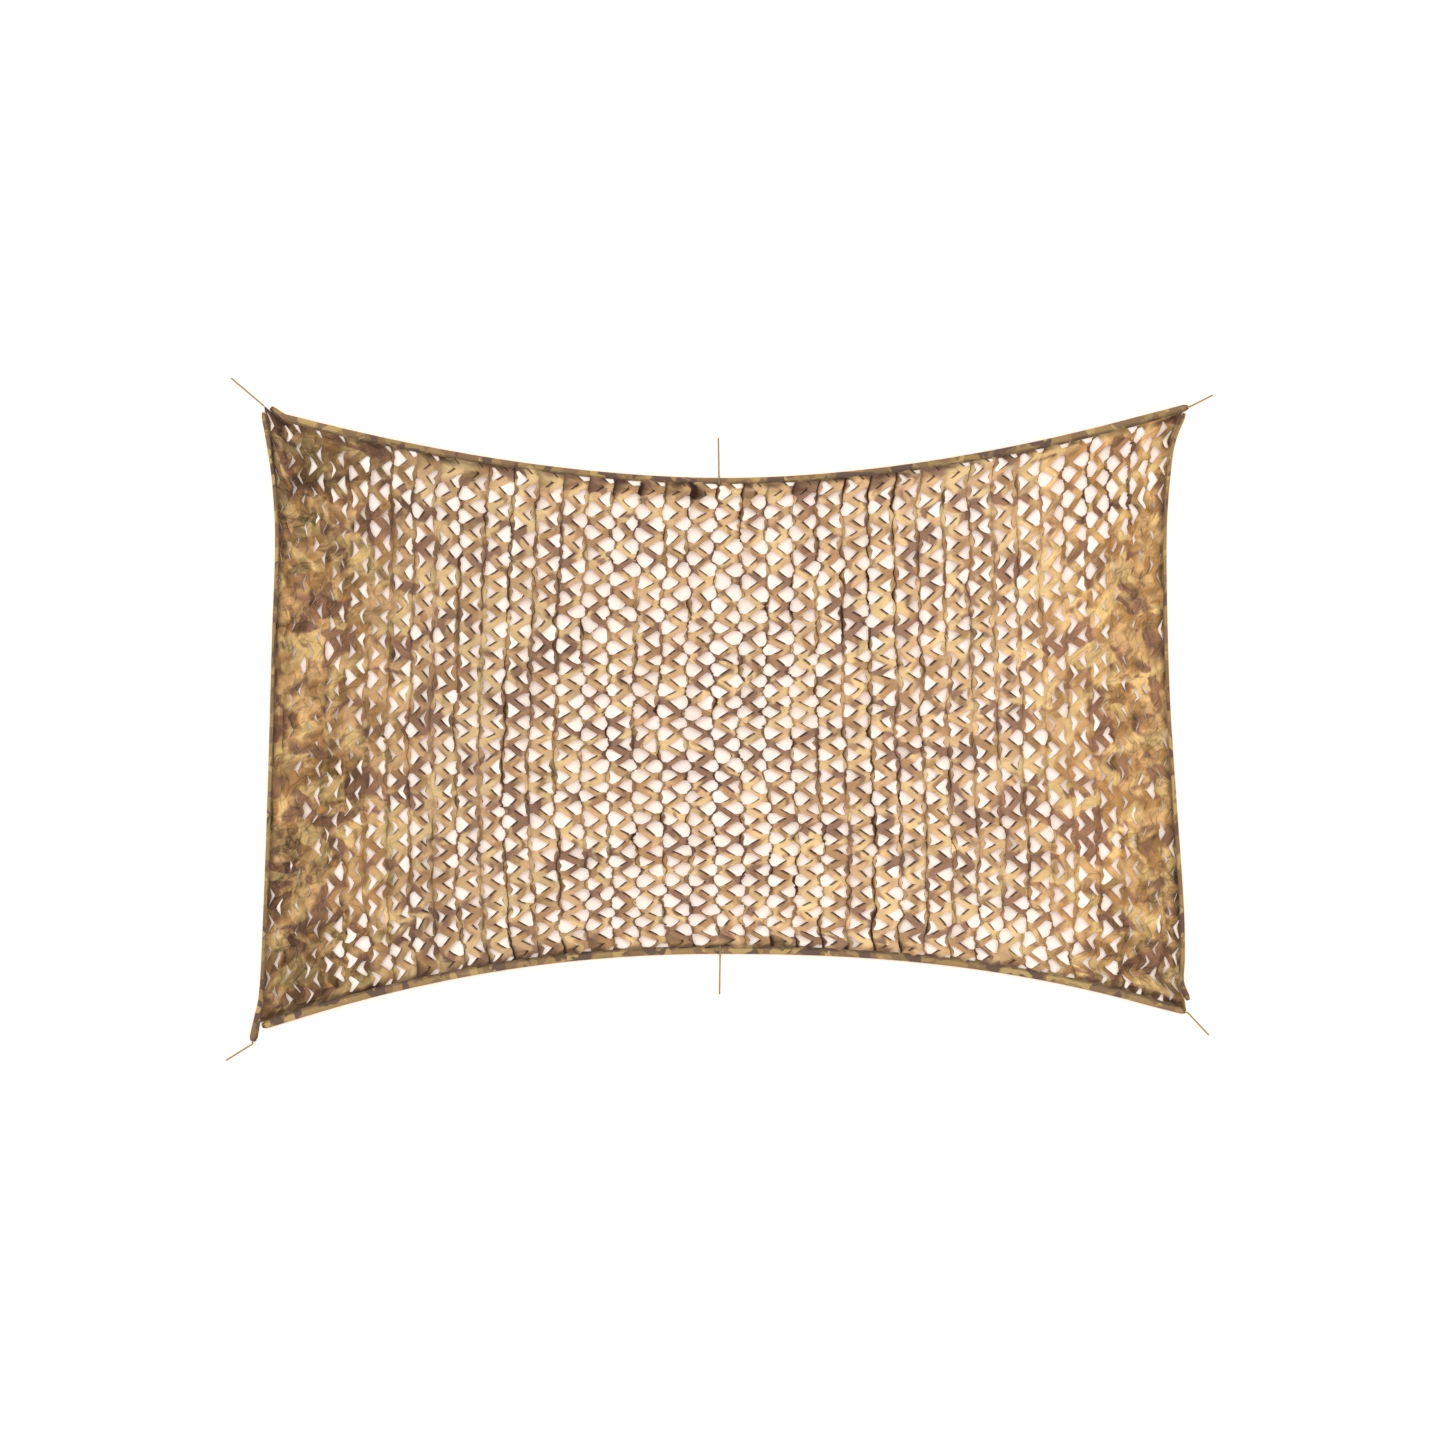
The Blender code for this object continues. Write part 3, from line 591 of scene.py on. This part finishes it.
    # the rim lies inside the tape, nothing goes through the ground, and a bell tucks the corner back
    rim = np.minimum(np.minimum(row, rows - row) * net["rimRow"],
                     np.minimum(cut[..., 0], columns * pitch - cut[..., 0]))
    points[..., 2] = net["rimHeight"] + (points[..., 2] - net["rimHeight"]) * step(0, net["rimReach"], rim)
    points[..., 2] = np.clip(points[..., 2], net["floor"], net["top"])
    away = np.sum((points[..., :2] - edges["bottom"][-1]) ** 2, axis=-1) / net["tipReach"] ** 2
    points[..., :2] += np.exp(-away)[..., None] * net["tip"]

    # painted light and shade on the cloth, a painted shadow beside the tape's rim, and painted shade in the deepest
    # folds
    paintedLight = np.clip(creased(points[..., 0], points[..., 1])[1] + light, shades["darkest"], 1.2)
    slack = 0.15 + 0.85 * step(0.55, 0.85, np.abs(points[..., 0]) / folds["halfWidth"])
    rimDark = shades["rim"] * np.exp(-((rim - shades["rimPlace"]) / shades["rimSpread"]) ** 2)
    rimDark = rimDark * (0.8 + 0.3 * drift(62, cut[..., 0] * 30, cut[..., 1] * 30))
    paintedShade = np.maximum(paintedShade, np.clip(rimDark, 0, 1))
    paintedShade = np.maximum(paintedShade, np.clip(shades["fold"] * paintedLight - shades["foldFrom"], 0, shades["foldMost"]))

    used, faces = np.unique(netQuads(len(row), slits), return_inverse=True)
    values = {"edge": edge, "paintedShade": paintedShade, "paintedLight": paintedLight, "slack": slack}
    values = {name: value.ravel()[used] for name, value in values.items()}
    return points.reshape(-1, 3)[used], faces.reshape(-1, 4), cut.reshape(-1, 2)[used], values


def netQuads(count, slits):
    # panels share their seams, and a leaf shares the band's edge where no slit parts them
    columns, leaf = net["columns"], net["leafSteps"]
    stations = 2 * leaf + 5
    ids = np.arange(columns * stations * count).reshape(columns, stations, -1)
    ids[:-1, -1] = ids[1:, 0]
    ids[:, leaf] = np.where(slits[0], ids[:, leaf], ids[:, leaf + 1])
    ids[:, leaf + 4] = np.where(slits[1], ids[:, leaf + 4], ids[:, leaf + 3])
    low, high = (np.delete(part, (leaf, leaf + 3), 1) for part in (ids[:, :-1], ids[:, 1:]))
    return np.stack([low[..., :-1], high[..., :-1], high[..., 1:], low[..., 1:]], -1).reshape(-1, 4)


def camouflage(tree, vector, patches, softness, stretch=(1, 1, 1)):
    # each patch colour covers the ones before it where its own noise is above its level
    settings, links = {6: srgb(patches[0][1])}, {}
    for number, (_, hexColour, scale, level, distortion) in enumerate(patches[1:], 1):
        moved = addNode(tree, "Mapping", {
            "Location": (3.7 * number, 1.9 * number, 0), "Scale": stretch}, {"Vector": vector})
        noise = addNode(tree, "TexNoise", {
            "Scale": scale, "Detail": 2.0, "Roughness": 0.45, "Distortion": distortion}, {"Vector": moved})
        mask = addNode(tree, "MapRange", {"interpolation_type": "SMOOTHSTEP", "From Min": level - softness,
                                          "From Max": level + softness}, {"Value": noise})
        mix = addNode(tree, "Mix", {
            "data_type": "RGBA", **settings, 7: srgb(hexColour)}, {"Factor": mask, **links})
        settings, links = {}, {6: mix.outputs[2]}
    return mix.outputs[2]


netPrint = {
    # name, colour, scale in patches per metre, level, distortion
    "patches": [
        ("tan", "#c19b6f", 0, 0, 0),
        ("light brown", "#a37c54", 11.0, 0.51, 0.5),
        ("sand", "#d0af7c", 9.0, 0.55, 0.7),
        ("purple brown", "#89664f", 9.5, 0.56, 0.8),
    ],
    "stretch": (1.12, 0.98, 1),  # the print looks no wider than tall once the net is pulled
    "softness": 0.05,
    # painted shade at the cut edges, seams, rolled leaves, folds and the tape's rim: its colour and how far it goes
    "paintedShadeColour": "#2f190b", "edgeShare": 0.93, "edgeFrom": 0.28, "edgeFull": 0.85,
    "bright": 0.85, "paintedLight": 0.34,  # brightness, and how much of the cloth's painted light and shade it shows
    "fade": 0.30, "fadeScale": 26.0,
    "creaseFolds": 13.0, "creaseHeight": 5 * mm, "creaseTurn": -0.7, "creaseStretch": 1.9,  # folds per metre
    # painted highlights and shade along creases: shift of their noise, half their width in its values, how light
    "creases": [(0.0, 0.022, 0.24), (5.3, 0.030, -0.30)],
    "threads": 2.6,  # mm between drawn threads; the real ones, 0.4 mm, are too fine to show
    "threadHeight": 0.4 * mm,
    "richness": (0.96, 1.08),  # saturation of the pulled arms, which are thin, and of the slack sides
    "surface": {"Roughness": 0.82, "Specular IOR Level": 0.2, "Sheen Weight": 0.06, "Sheen Roughness": 0.5},
}


def netMaterial():
    # printed polyester leaf cloth: matt print, faint weave, uneven tone by chance, and painted light and shade: dark
    # cut edges, seams, rolled leaves and folds, and a painted shadow by the tape
    material, tree, shader = newMaterial("printed polyester leaf cloth", netPrint["surface"])
    cutMap = addNode(tree, "UVMap", {"uv_map": "cut"})
    paintedLight, slack, edge, paintedShade = [addNode(tree, "Attribute", {"attribute_name": name}).outputs["Fac"]
                               for name in ("paintedLight", "slack", "edge", "paintedShade")]
    colour = camouflage(tree, cutMap, netPrint["patches"], netPrint["softness"], netPrint["stretch"])
    fade = addNode(tree, "TexNoise", {"Scale": netPrint["fadeScale"], "Detail": 3.0}, {"Vector": cutMap})
    # painted light and shade on the cloth, over an even brightness
    paintedLightValue = addNode(tree, "Math", {
        "operation": "MULTIPLY_ADD", 1: netPrint["paintedLight"], 2: netPrint["bright"]}, {0: paintedLight})
    value = addNode(tree, "Math", {"operation": "MULTIPLY_ADD", 1: netPrint["fade"]}, {0: fade, 2: paintedLightValue})
    # painted highlights and painted shade along the creases of the slack cloth run where a noise passes its middle
    # value
    ridges = []
    for shift, low, share in netPrint["creases"]:
        moved = addNode(tree, "Mapping", {"vector_type": "TEXTURE", "Location": (shift, shift, 0),
                                          "Rotation": (0, 0, netPrint["creaseTurn"]),
                                          "Scale": (1.0, netPrint["creaseStretch"], 1)}, {"Vector": cutMap})
        noise = addNode(tree, "TexNoise", {"Scale": netPrint["creaseFolds"], "Detail": 3.0, "Roughness": 0.55,
                                           "Distortion": 0.8}, {"Vector": moved})
        away = addNode(tree, "Math", {"operation": "SUBTRACT", 1: 0.5}, {0: noise})
        size = addNode(tree, "Math", {"operation": "ABSOLUTE"}, {0: away})
        ridge = addNode(tree, "MapRange", {"From Min": low, "From Max": 0.0, "To Max": share}, {"Value": size})
        ridges.append(addNode(tree, "Math", {"operation": "MULTIPLY"}, {0: ridge, 1: slack}))
        value = addNode(tree, "Math", {"operation": "ADD"}, {0: value, 1: ridges[-1]})
    paler, fuller = netPrint["richness"]
    rich = addNode(tree, "MapRange", {
        "From Min": 0.15, "From Max": 1.0, "To Min": paler, "To Max": fuller}, {"Value": slack})
    toned = addNode(tree, "HueSaturation", None, {"Color": colour, "Value": value, "Saturation": rich})
    # painted shade at the cut edges, the seams, rolled leaves, folds and the tape's rim, in one dark colour
    rim = addNode(tree, "MapRange", {"interpolation_type": "SMOOTHSTEP", "From Min": netPrint["edgeFrom"],
                                     "From Max": netPrint["edgeFull"], "To Max": netPrint["edgeShare"]},
                  {"Value": edge})
    dark = addNode(tree, "Math", {"operation": "MAXIMUM"}, {0: rim, 1: paintedShade})
    mix = addNode(tree, "Mix", {
        "data_type": "RGBA", 7: srgb(netPrint["paintedShadeColour"])}, {"Factor": dark, 6: toned})
    tree.links.new(mix.outputs[2], shader.inputs["Base Color"])
    weave = addNode(tree, "TexVoronoi", {
        "Scale": 1000 / netPrint["threads"], "Randomness": 0.25}, {"Vector": cutMap})
    bump = addNode(tree, "Bump", {"Strength": 0.25, "Distance": netPrint["threadHeight"]}, {"Height": weave})
    both = addNode(tree, "Math", {"operation": "ADD"}, {0: ridges[0], 1: ridges[1]})
    folded = addNode(tree, "Bump", {
        "Strength": 0.8, "Distance": netPrint["creaseHeight"]}, {"Height": both, "Normal": bump})
    tree.links.new(folded.outputs[0], shader.inputs["Normal"])
    return material


points, faces, cut, values = netSurface()
netCloth = addMesh("netCloth", points, faces, netMaterial(), cut, values)
print("net cloth made,", len(faces), "faces")
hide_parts("net_panel")
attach(netCloth, "root")

# Tape folded over the net's rim: one leg under it, one over it, open towards the cloth.
binding = {
    "slender": 0.36, "least": 7 * mm,  # height as a share of the width, and the least height
    "lowest": 0.3 * mm,
    # section from the lower leg's inner end round to the upper leg's: place across, height, in shares
    "section": [(0.94, 0.05), (0.3, 0.03), (-0.45, 0.03), (-0.86, 0.14), (-1.0, 0.46), (-0.90, 0.80),
                (-0.58, 0.99), (-0.12, 0.92), (0.28, 0.80), (0.58, 0.56), (0.78, 0.60), (0.97, 0.47)],
    "pitch": 6 * mm,  # stations along the tape
    "pucker": 0.55 * mm, "puckerPitch": 15 * mm,
    "wave": 1.1 * mm, "wavePitch": 62 * mm,
    "endWidth": 0.62, "endHeight": 0.72,  # shares of the section that are left at a tape's ends
    "seamAt": 0.62, "seamSpread": 0.20,  # place of the dark valley along the stitches, in shares across
    "seamShade": 0.90, "lipShade": 1.0, "endShade": 0.55, "shadeColour": "#35190c",
    "patches": [
        ("olive tan", "#94774a", 0, 0, 0),
        ("brown", "#7d6141", 15.0, 0.50, 0.4),
        ("dark brown", "#5e4637", 12.5, 0.55, 0.5),
        ("sand", "#ab8f59", 17.0, 0.60, 0.4),
    ],
    "softness": 0.015, "mapShift": (7.3, 2.1),  # the print's shift from one tape to the next
    "threads": 2.0, "threadHeight": 0.3 * mm, "surface": {"Roughness": 0.75},
}
stitch = {
    "place": 0.58, "height": 0.56, "lift": 0.25 * mm,  # in shares of the tape's half width and height
    "gap": 5.2 * mm, "length": 3.6 * mm, "width": 1.0 * mm, "margin": 15 * mm,
    "rings": [(-0.5, 0.25), (-0.28, 1.0), (0.28, 1.0), (0.5, 0.25)],  # place along it, thickness
    "colours": ("#8a6f47", "#b59a6a"), "grain": 60.0, "surface": {"Roughness": 0.6},
}


def bindingMaterial():
    # woven polyester tape, printed finer than the net: a little smoother, with ribs across it
    material, tree, shader = newMaterial("woven printed tape", binding["surface"])
    cutMap = addNode(tree, "UVMap", {"uv_map": "cut"})
    colour = camouflage(tree, cutMap, binding["patches"], binding["softness"])
    # painted shade over the print, from the shade values
    shade = addNode(tree, "Attribute", {"attribute_name": "shade"})
    mix = addNode(tree, "Mix", {
        "data_type": "RGBA", 7: srgb(binding["shadeColour"])}, {"Factor": shade.outputs["Fac"], 6: colour})
    tree.links.new(mix.outputs[2], shader.inputs["Base Color"])
    # a wave node's stripe is 2 pi over its scale wide
    ribs = addNode(tree, "TexWave", {
        "Scale": 1000 / binding["threads"] / 6.28, "Distortion": 0.6, "Detail": 1.0}, {"Vector": cutMap})
    bump = addNode(tree, "Bump", {"Strength": 0.3, "Distance": binding["threadHeight"]}, {"Height": ribs})
    tree.links.new(bump.outputs[0], shader.inputs["Normal"])
    return material


def bindingSize(name, share):
    width = throughTable(bindingWidths[name], share)
    return width, np.maximum(binding["slender"] * width, binding["least"])


def pucker(number, run):
    # chance field along a tape, for its height and its stitches'
    return drift(70 + number, run / binding["puckerPitch"], 0 * run)


def bindingSurface(name, number):
    # the section runs along the edge line; it puckers by a fast wave and wanders by a slow one
    length = edgeLength(name)
    share = np.linspace(0, 1, int(length / binding["pitch"]) + 1)
    points, along, inwards = edgeFrame(name, share)
    width, height = bindingSize(name, share)
    section = np.array(binding["section"])
    place, tall = section.T
    run = share * length
    fromEnd = np.minimum(run, length - run)
    slow = drift(60 + number, run / binding["wavePitch"], 0 * run) * binding["wave"] * step(0, 0.08, fromEnd)
    fast = pucker(number, run)
    half = width / 2 * (binding["endWidth"] + (1 - binding["endWidth"]) * step(0, 14 * mm, fromEnd))
    height = height * (binding["endHeight"] + (1 - binding["endHeight"]) * step(0, 18 * mm, fromEnd))
    across = np.outer(half, place) + np.outer(slow, step(-1.2, 0.2, place)) * 0.4
    upper = tall > 0.4
    up = np.outer(height, tall) + np.outer(fast * binding["pucker"], upper * (1 - np.abs(place - 0.1)))
    laid = points[:, None] + inwards[:, None] * across[..., None]
    surface = np.concatenate([laid, np.maximum(up, binding["lowest"])[..., None]], -1)
    girth = width.mean() * runAlong(section * (0.5, binding["slender"]))
    uv = np.stack(np.meshgrid(run, girth, indexing="ij"), -1) + np.multiply(number, binding["mapShift"])
    # painted shade along the stitches, at the lip by the cloth and at the ends
    valley = binding["seamShade"] * np.exp(-((place - binding["seamAt"]) / binding["seamSpread"]) ** 2)
    lip = binding["lipShade"] * step(0.70, 0.95, place)
    shade = np.outer(0.75 + 0.25 * np.clip(fast, -1, 1), np.clip((valley + lip) * upper, 0, 1))
    shade = shade + binding["endShade"] * (1 - step(0, 16 * mm, fromEnd))[:, None]
    faces = gridFaces(len(share), len(section))
    return surface, faces, uv, np.clip(shade, 0, 1), length, girth[-1]


def mottled(tree, vector, grain, colours):
    # two colours mixed by a fine noise
    noise = addNode(tree, "TexNoise", {"Scale": grain, "Detail": 2.0}, {"Vector": vector})
    dark, light = (srgb(colour) for colour in colours)
    return addNode(tree, "Mix", {"data_type": "RGBA", 6: dark, 7: light}, {"Factor": noise}).outputs[2]


def stitchMaterial():
    # spun polyester thread: soft, slightly glossy twist
    material, tree, shader = newMaterial("spun polyester thread", stitch["surface"])
    colour = mottled(tree, addNode(tree, "TexCoord").outputs["Object"], stitch["grain"], stitch["colours"])
    tree.links.new(colour, shader.inputs["Base Color"])
    return material


def stitchSurface(name, number):
    # one small spindle a stitch: four rings of four points, thin at the ends
    length = edgeLength(name)
    count = int((length - 2 * stitch["margin"]) / stitch["gap"])
    share = (stitch["margin"] + (np.arange(count) + 0.5) * stitch["gap"]) / length
    points, along, inwards = edgeFrame(name, share)
    width, height = bindingSize(name, share)
    place = points + inwards * (width / 2 * stitch["place"])[:, None]
    lie = height * stitch["height"] + pucker(number, share * length) * binding["pucker"] * 0.5
    at, thick = np.array(stitch["rings"]).T
    angle = np.arange(4) * np.pi / 2 + np.pi / 4
    u = (at * stitch["length"])[:, None] + 0 * angle
    v, w = [thick[:, None] * wave(angle) * stitch["width"] / 2 for wave in (np.cos, np.sin)]
    flat = place[:, None, None] + along[:, None, None] * u[..., None] + inwards[:, None, None] * v[..., None]
    tall = lie[:, None, None] + stitch["lift"] + w[None]
    one = np.vstack([gridFaces(4, 4, closed=True), [[3, 2, 1, 0]], [[12, 13, 14, 15]]])
    faces = (one[None] + 16 * np.arange(count)[:, None, None]).reshape(-1, 4)
    return np.concatenate([flat, tall[..., None]], -1), faces


tapeMaterial, threadMaterial = bindingMaterial(), stitchMaterial()
for number, name in enumerate(clothSide):
    surface, faces, uv, shade, length, girth = bindingSurface(name, number)
    tape = addMesh("tape_" + name, surface, faces, tapeMaterial, uv, {"shade": shade})
    thread = addMesh("stitches_" + name, *stitchSurface(name, number), threadMaterial)
    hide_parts("binding_" + name)
    for piece in (tape, thread):
        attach(piece, "root")
print("bindings and their stitches made")

# Six lengths of braided cord with bare ends; the places are the solids' own, in metres,
# but that the bottom middle one is 8 mm shorter.
cords = {
    "diameter": 4.5 * mm, "floor": 2.35 * mm, "step": 1.1 * mm, "around": 16,
    "strands": 8, "braid": 7.5 * mm,  # bumps round the cord and length of one turn of a strand
    "bump": 0.10, "round": 0.8,  # of the radius: the strands' height and the rounding of the ends
    "girth": 14 * mm,
    "colours": ("#6d6446", "#8f8562"), "grain": 900.0, "tipColour": "#5f4b36", "tip": 5 * mm,
    "surface": {"Roughness": 0.55},
    "start": 0.6 * mm,  # past the corner or the tape's end
    # bindings it comes out from, height of its start, end in plan
    "corners": {
        "cord_top_left": (("top", "left"), 3.2 * mm, (-1.584, 1.108)),
        "cord_top_right": (("top",), 4.0 * mm, (1.597, 1.053)),
        "cord_bottom_left": (("left",), 4.8 * mm, (-1.601, -1.103)),
        "cord_bottom_right": (("bottom",), 3.5 * mm, (1.584, -1.021)),
    },
    # binding, share of its length, reach past the binding and drift in x over it
    "middles": {
        "cord_top_middle": ("top", 0.4886, 0.130, -0.003),
        "cord_bottom_middle": ("bottom", 0.4962, 0.131, -0.002),
    },
}


def smoothRoute(places):
    # Catmull-Rom curve through the places, cut into even steps
    places = np.array(places, float)
    ends = np.vstack([2 * places[0] - places[1], places, 2 * places[-1] - places[-2]])
    t = np.arange(24)[:, None] / 24
    dense = [0.5 * (2 * b + (c - a) * t + (2 * a - 5 * b + 4 * c - d) * t**2 + (3 * b - a - 3 * c + d) * t**3)
             for a, b, c, d in zip(ends, ends[1:], ends[2:], ends[3:])]
    dense = np.vstack(dense + [places[-1:]])
    length = runAlong(dense)
    count = max(3, round(length[-1] / cords["step"]))
    route = np.stack([np.interp(np.linspace(0, length[-1], count + 1), length, dense[:, i]) for i in range(3)], -1)
    route[:, 2] = np.maximum(route[:, 2], cords["floor"])
    return route


def cordSurface(route):
    # a ring carried along the route; two sets of strands wind opposite ways, each a cosine ridge
    along = unit(np.gradient(route, axis=0))
    side = unit(np.cross(along, (0, 0, 1.0)))
    over = np.cross(side, along)
    run, radius, strands = runAlong(route), cords["diameter"] / 2, cords["strands"] / 2
    angle = np.arange(cords["around"]) * 2 * np.pi / cords["around"]
    wind = 2 * np.pi * run[:, None] / cords["braid"]
    ridge = np.maximum(np.cos(strands * (angle - wind)), np.cos(strands * (angle + wind)))
    swell = 1 - cords["bump"] + cords["bump"] * ridge
    end = np.clip(np.minimum(run, run[-1] - run) / radius / cords["round"], 0, 1)
    taper = np.sqrt(np.clip(1 - (1 - end) ** 2, 0.02, 1))
    size = radius * swell * taper[:, None]
    ring = (route[:, None] + side[:, None] * (size * np.cos(angle))[..., None]
            + over[:, None] * (size * np.sin(angle))[..., None])
    uv = np.stack(np.meshgrid(run, angle / 6.283 * cords["girth"], indexing="ij"), -1)
    tip = np.broadcast_to((1 - step(0, cords["tip"], run[-1] - run))[:, None], size.shape)
    faces = gridFaces(len(route), cords["around"], closed=True)
    return ring, faces[:, ::-1], uv, tip, run[-1]


def cordMaterial():
    # braided nylon cord: pale, slightly glossy, darker where heat has sealed the end
    material, tree, shader = newMaterial("braided nylon cord", cords["surface"])
    colour = mottled(tree, addNode(tree, "UVMap", {"uv_map": "cut"}), cords["grain"], cords["colours"])
    tip = addNode(tree, "Attribute", {"attribute_name": "tip"})
    sealed = addNode(tree, "Mix", {
        "data_type": "RGBA", 7: srgb(cords["tipColour"])}, {"Factor": tip.outputs["Fac"], 6: colour})
    tree.links.new(sealed.outputs[2], shader.inputs["Base Color"])
    return material


def cornerPlaces(start, along, height, end):
    # out of the corner, down to the ground and straight on along it
    drop = height - cords["floor"]
    out = start + along * 2 * cords["diameter"]
    flat = [(start, drop), (start + (out - start) * 0.6, drop), (out, drop * 0.6)]
    flat += [(out + (end - out) * share, 0.0) for share in (0.25, 0.6, 1.0)]
    return [(*place, cords["floor"] + up) for place, up in flat]


def middlePlaces(name, place, reach, sideways):
    # over the binding from the cloth's side, down its outside and straight out
    centre, _, inwards = (v[0] for v in edgeFrame(name, np.array([place])))
    width, height = (v[0] for v in bindingSize(name, np.array([place])))
    half, floor = width / 2, cords["floor"]
    over = height + cords["diameter"] / 2 + 0.9 * mm
    steps = [(half + 2 * mm, over - 0.4 * mm), (half - 3 * mm, over), (0.0, over), (-half + 3 * mm, over - 0.3 * mm),
             (-half - 5 * mm, floor + 0.45 * (over - floor)), (-half - 14 * mm, floor),
             (-half - 0.5 * reach, floor), (-half - reach, floor)]
    return [(*(centre + inwards * inward + np.array([sideways * max(0.0, -inward - half) / reach, 0])), up)
            for inward, up in steps]


def cordRoutes():
    routes = {}
    for name, (bindings, height, end) in cords["corners"].items():
        end = np.add(end, plan["shift"])
        if len(bindings) == 2:
            # out of the corner where the inner sides of two bindings meet
            start = crossing(*(innerSide(one, 0.3 * mm) for one in bindings))[2]
            along = unit(end - start)
        else:
            start, along, _ = (v[0] for v in edgeFrame(bindings[0], np.array([1.0])))
        routes[name] = cornerPlaces(start + along * cords["start"], along, height, end)
    for name, middle in cords["middles"].items():
        routes[name] = middlePlaces(*middle)
    return {name: smoothRoute(places) for name, places in routes.items()}


braid = cordMaterial()
for name, route in cordRoutes().items():
    ring, faces, uv, tip, length = cordSurface(route)
    cord = addMesh(name.replace("cord_", "braid_"), ring, faces, braid, uv, {"tip": tip})
    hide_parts(name)
    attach(cord, "root")
    print(name, "length", round(length, 4))
print("cords made")
